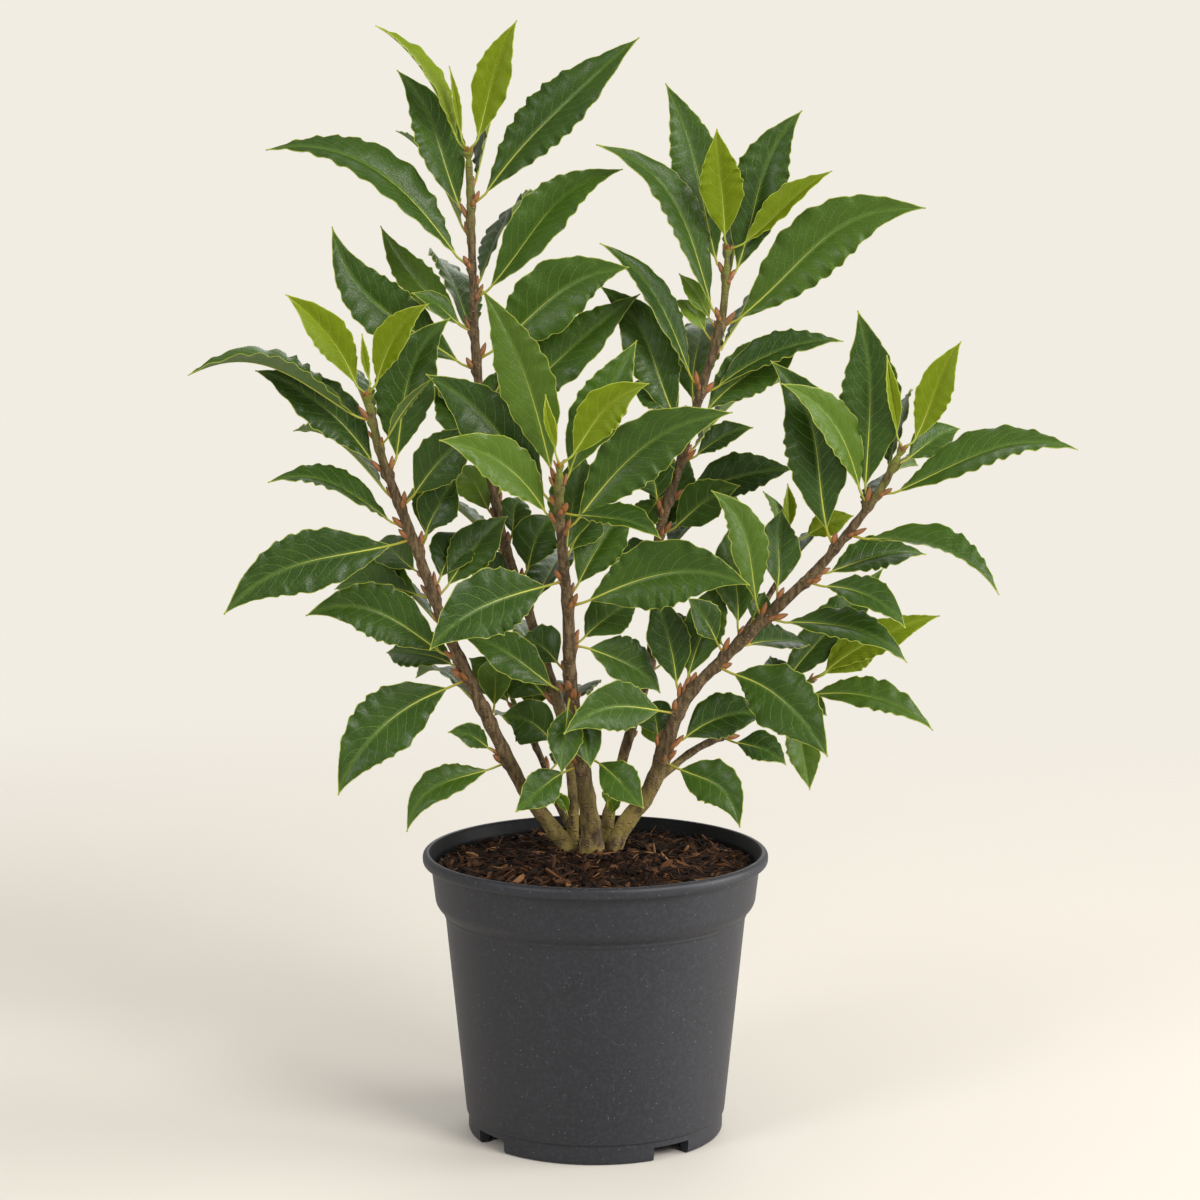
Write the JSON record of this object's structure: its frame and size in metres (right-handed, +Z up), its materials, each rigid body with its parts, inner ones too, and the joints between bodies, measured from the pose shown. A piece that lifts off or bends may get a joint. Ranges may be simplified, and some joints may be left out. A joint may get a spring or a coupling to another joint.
{
  "type": "potted bay laurel",
  "caption": "Young bay laurel with several woody stems, glossy pointed leaves and bright young tips, in a round black plastic nursery pot filled with soil.",
  "frame": {"origin": "centre of the whole plant's footprint at the height of the floor", "axes": "+Z up the plant, its longest extent; +X to the right as seen from the front of the picture; +Y to the back"},
  "size_m": [0.4717, 0.215, 0.608],
  "materials": {
    "pot_plastic": "black nursery-pot plastic with a dull sheen",
    "potting_soil": null,
    "mature_leaf": null,
    "young_leaf": null,
    "bark": "brown bark, olive-green near the tips"
  },
  "bodies": {
    "root": {"pot": "pot_plastic", "soil": "potting_soil", "stem_left": "mature_leaf", "stem_tall": "mature_leaf", "stem_centre": "mature_leaf", "stem_right": "mature_leaf", "stem_back": "mature_leaf", "shoot_low": "mature_leaf", "tip_left": "young_leaf", "tip_tall": "young_leaf", "tip_centre": "young_leaf", "tip_back": "young_leaf", "tip_right": "young_leaf", "tip_side": "young_leaf", "tip_rear": "young_leaf"}
  },
  "joints": []
}
